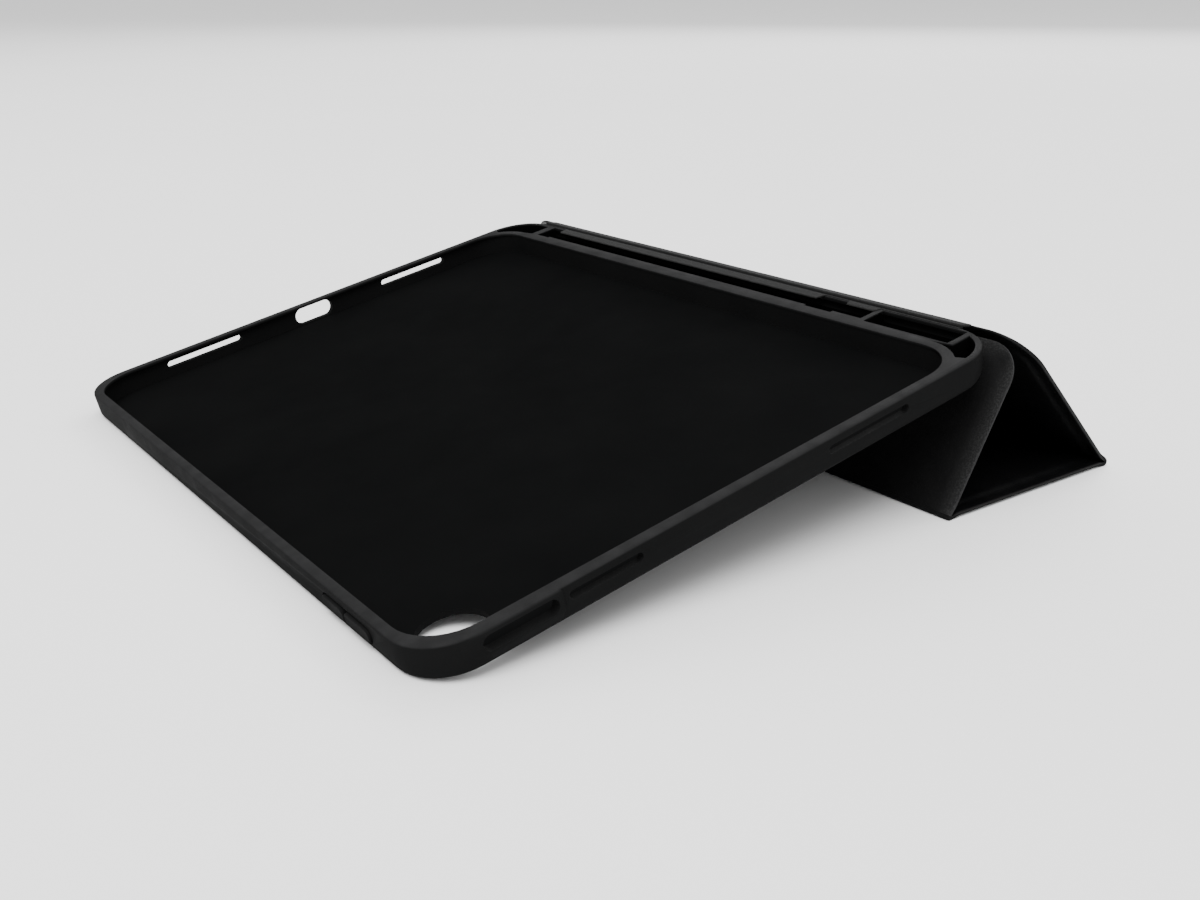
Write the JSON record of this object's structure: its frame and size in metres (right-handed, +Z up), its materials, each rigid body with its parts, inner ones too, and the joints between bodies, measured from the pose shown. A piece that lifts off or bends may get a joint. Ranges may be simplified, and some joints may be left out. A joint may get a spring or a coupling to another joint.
{
  "type": "tablet case",
  "caption": "Folio case for a tablet: a soft tray with a pencil trough, and a cover of hinged panels that folds behind it into a low typing stand.",
  "frame": {"origin": "middle of the footprint on the surface that the case stands on", "axes": "+X along the folds, towards the power button's window; +Y from the tray's front edge to the stand; +Z up"},
  "size_m": [0.259, 0.2468, 0.0507],
  "materials": {
    "soft_moulding": "fine matte grain",
    "coated_skin": "smooth low-gloss coating",
    "napped_lining": "short napped microfibre",
    "pressed_board": "raw board",
    "spring_steel": "bright rolled",
    "nickel_magnet": "nickel plated"
  },
  "bodies": {
    "tray": {"tray_shell": "soft_moulding", "spine_flap": "napped_lining"},
    "volume_up": {"volume_up_key": "soft_moulding"},
    "volume_down": {"volume_down_key": "soft_moulding"},
    "crest": {"crest_strip": "napped_lining", "crest_hinge_roll": "napped_lining"},
    "back_panel": {"back_panel_skin": "coated_skin", "back_panel_board": "pressed_board", "back_panel_lining": "napped_lining", "catch_plate_1": "spring_steel", "catch_plate_2": "spring_steel", "crest_fold_roll": "napped_lining"},
    "bottom_panel": {"bottom_panel_skin": "coated_skin", "bottom_panel_board": "pressed_board", "bottom_panel_lining": "napped_lining", "back_fold_roll": "napped_lining"},
    "front_panel": {"front_panel_skin": "coated_skin", "front_panel_board": "pressed_board", "front_panel_lining": "napped_lining", "front_fold_roll": "napped_lining", "free_edge_hem": "coated_skin", "closing_magnet_1": "nickel_magnet", "closing_magnet_2": "nickel_magnet", "closing_magnet_3": "nickel_magnet", "closing_magnet_4": "nickel_magnet", "sleep_magnet": "nickel_magnet"}
  },
  "joints": [
    {"name": "cover_swing", "type": "hinge", "parent": "tray", "child": "crest", "pos_m": [0, 0.069, 0.05022], "axis": [1, 0, 0], "range_deg": [0, 182]},
    {"name": "crest_fold", "type": "hinge", "parent": "crest", "child": "back_panel", "pos_m": [0, 0.07346, 0.0496], "axis": [1, 0, 0], "range_deg": [0, 54.9]},
    {"name": "back_fold", "type": "hinge", "parent": "back_panel", "child": "bottom_panel", "pos_m": [0, 0.12217, 0.0013], "axis": [1, 0, 0], "range_deg": [0, 135.3]},
    {"name": "front_fold", "type": "hinge", "parent": "bottom_panel", "child": "front_panel", "pos_m": [0, 0.04717, 0.0013], "axis": [1, 0, 0], "range_deg": [0, 120.1], "deforming": ["free_edge_hem"]},
    {"name": "volume_up_press", "type": "slide", "parent": "tray", "child": "volume_up", "axis": [0, 0.978, 0.2084], "range_m": [0, 0.0005], "stiffness_N_per_m": 500, "springref_m": -0.0005},
    {"name": "volume_down_press", "type": "slide", "parent": "tray", "child": "volume_down", "axis": [0, 0.978, 0.2084], "range_m": [0, 0.0005], "stiffness_N_per_m": 500, "springref_m": -0.0005}
  ],
  "couplings": [
    {"joint": "crest_fold", "follows": "cover_swing", "ratio": 0.30101},
    {"joint": "back_fold", "follows": "cover_swing", "ratio": 0.74311},
    {"joint": "front_fold", "follows": "cover_swing", "ratio": 0.65918}
  ]
}
